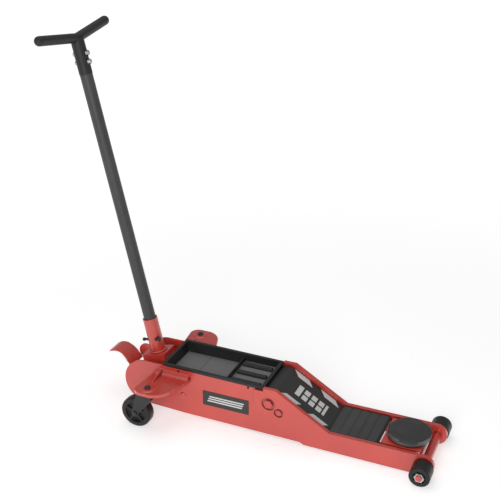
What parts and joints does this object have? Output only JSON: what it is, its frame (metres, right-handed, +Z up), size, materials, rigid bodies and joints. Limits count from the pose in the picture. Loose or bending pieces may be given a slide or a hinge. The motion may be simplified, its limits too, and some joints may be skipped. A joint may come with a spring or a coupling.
{
  "type": "trolley jack",
  "caption": "Low-profile long-chassis hydraulic trolley jack with a lifting arm and swivelling saddle, tool tray, T-grip pump handle, foot pedal, front rollers and rear casters.",
  "frame": {"origin": "on the floor under the middle of the bounding box", "axes": "+X forward to the front rollers and saddle, +Y left, +Z up, normal to the saddle's top face"},
  "size_m": [1.1203, 0.408, 1.1221],
  "materials": {
    "red_paint": "gloss",
    "red_bolt": "gloss",
    "dark_steel": "satin black oxide",
    "zinc": "zinc plated",
    "steel": "machined",
    "chrome_rod": "polished",
    "cast": "painted casting",
    "black_clip": "matt",
    "label": "gloss film",
    "tray_plastic": "fine texture",
    "rubber": "matt",
    "tread_rubber": "matt",
    "saddle_rubber": "matt",
    "saddle_metal": "satin grey",
    "black_paint": "satin",
    "handle_black": "satin powder coat",
    "wheel_black": "satin nylon"
  },
  "bodies": {
    "chassis": {"side_plate_l": "red_paint", "side_plate_r": "red_paint", "front_plate_l": "red_paint", "front_plate_r": "red_paint", "caster_shelf_l": "red_paint", "caster_shelf_r": "red_paint", "caster_bolts": "dark_steel", "axle_tube": "red_paint", "front_axle": "red_bolt", "axle_nuts": "zinc", "bottom_plate": "red_paint", "arm_pivot_shaft": "steel", "arm_pivot_bolts": "red_bolt", "rod_anchor_bolts": "red_bolt", "pump_mount_bolts": "red_bolt", "tray_clips": "black_clip", "label_plates": "label", "yoke_pins": "steel", "tool_tray": "tray_plastic", "pump_block": "cast", "cylinder_tube": "steel", "reservoir_tube": "cast", "gland_nut": "steel", "filler_plug": "rubber"},
    "ram": {"ram_rod": "chrome_rod"},
    "main_plunger": {"pump_plunger": "chrome_rod"},
    "quick_lift_plunger": {"quick_plunger": "chrome_rod"},
    "lift_arm": {"arm_cover": "black_paint", "arm_plate_l": "red_paint", "arm_plate_r": "red_paint", "tread_pad": "tread_rubber", "arm_lever": "red_paint", "lever_roller": "steel", "carrier_pins": "steel"},
    "carrier": {"saddle_carrier": "red_paint", "rod_pins": "steel"},
    "saddle": {"saddle_cup": "saddle_metal", "saddle_pad": "saddle_rubber", "saddle_circlip": "steel"},
    "levelling_rods": {"levelling_rod_l": "red_paint", "levelling_rod_r": "red_paint"},
    "yoke": {"handle_yoke": "red_paint", "handle_socket": "red_paint", "retaining_bolt": "dark_steel", "pump_roller": "steel"},
    "handle": {"handle_plug": "steel", "handle_tube": "handle_black", "grip_bars": "handle_black", "grip_sleeve": "handle_black", "grip_bolts": "zinc"},
    "release": {"release_spindle": "steel"},
    "pedal": {"foot_pedal": "red_paint"},
    "front_roller_l": {"roller_l": "wheel_black"},
    "front_roller_r": {"roller_r": "wheel_black"},
    "fork_l": {"caster_fork_l": "black_paint", "caster_axle_l": "dark_steel"},
    "fork_r": {"caster_fork_r": "black_paint", "caster_axle_r": "dark_steel"},
    "wheel_l": {"caster_wheel_l": "wheel_black"},
    "wheel_r": {"caster_wheel_r": "wheel_black"}
  },
  "joints": [
    {"name": "arm_lift", "type": "hinge", "parent": "chassis", "child": "lift_arm", "pos_m": [0.074, 0, 0.113], "axis": [0, -1, 0], "range_deg": [0, 70]},
    {"name": "carrier_tilt", "type": "hinge", "parent": "lift_arm", "child": "carrier", "pos_m": [0.45, 0, 0.04], "axis": [0, -1, 0], "range_deg": [-71, 1]},
    {"name": "saddle_swivel", "type": "hinge", "parent": "carrier", "child": "saddle", "pos_m": [0.467, 0, 0.062], "axis": [0, 0, 1], "continuous": true},
    {"name": "levelling_rod_swing", "type": "hinge", "parent": "chassis", "child": "levelling_rods", "pos_m": [0.106, 0, 0.091], "axis": [0, -1, 0], "range_deg": [-1, 71]},
    {"name": "ram_stroke", "type": "slide", "parent": "chassis", "child": "ram", "axis": [1, 0, 0], "range_m": [-0.001, 0.082]},
    {"name": "handle_swing", "type": "hinge", "parent": "chassis", "child": "yoke", "pos_m": [-0.309, 0, 0.082], "axis": [0, -1, 0], "range_deg": [-11, 26]},
    {"name": "pump_stroke", "type": "slide", "parent": "chassis", "child": "main_plunger", "axis": [1, 0, 0], "range_m": [-0.0055, 0.012]},
    {"name": "handle_twist", "type": "hinge", "parent": "yoke", "child": "handle", "pos_m": [-0.309, 0, 0.082], "axis": [-0.2221, 0, 0.975], "range_deg": [0, 90]},
    {"name": "release_turn", "type": "hinge", "parent": "chassis", "child": "release", "pos_m": [-0.309, 0, 0.082], "axis": [-0.9397, 0, 0.342], "range_deg": [-1, 91]},
    {"name": "pedal_press", "type": "hinge", "parent": "chassis", "child": "pedal", "pos_m": [-0.309, 0, 0.082], "axis": [0, -1, 0], "range_deg": [0, 20], "stiffness_Nm_per_rad": 3, "springref_deg": -20.05},
    {"name": "quick_lift_stroke", "type": "slide", "parent": "chassis", "child": "quick_lift_plunger", "axis": [1, 0, 0], "range_m": [-0.001, 0.01]},
    {"name": "roller_spin_l", "type": "hinge", "parent": "chassis", "child": "front_roller_l", "pos_m": [0.5305, 0.11, 0.0295], "axis": [0, 1, 0], "continuous": true},
    {"name": "roller_spin_r", "type": "hinge", "parent": "chassis", "child": "front_roller_r", "pos_m": [0.5305, -0.11, 0.0295], "axis": [0, 1, 0], "continuous": true},
    {"name": "caster_swivel_l", "type": "hinge", "parent": "chassis", "child": "fork_l", "pos_m": [-0.268, 0.174, 0.116], "axis": [0, 0, 1], "continuous": true},
    {"name": "caster_swivel_r", "type": "hinge", "parent": "chassis", "child": "fork_r", "pos_m": [-0.268, -0.174, 0.116], "axis": [0, 0, 1], "continuous": true},
    {"name": "caster_spin_l", "type": "hinge", "parent": "fork_l", "child": "wheel_l", "pos_m": [-0.3045, 0.174, 0.0475], "axis": [0, 1, 0], "continuous": true},
    {"name": "caster_spin_r", "type": "hinge", "parent": "fork_r", "child": "wheel_r", "pos_m": [-0.3045, -0.174, 0.0475], "axis": [0, 1, 0], "continuous": true}
  ],
  "couplings": [
    {"joint": "carrier_tilt", "follows": "arm_lift", "ratio": -1},
    {"joint": "levelling_rod_swing", "follows": "arm_lift", "ratio": 1},
    {"joint": "ram_stroke", "follows": "arm_lift", "m_per_rad": 0.0657},
    {"joint": "pump_stroke", "follows": "handle_swing", "m_per_rad": 0.025},
    {"joint": "release_turn", "follows": "handle_twist", "ratio": 1},
    {"joint": "quick_lift_stroke", "follows": "pedal_press", "m_per_rad": 0.025}
  ]
}
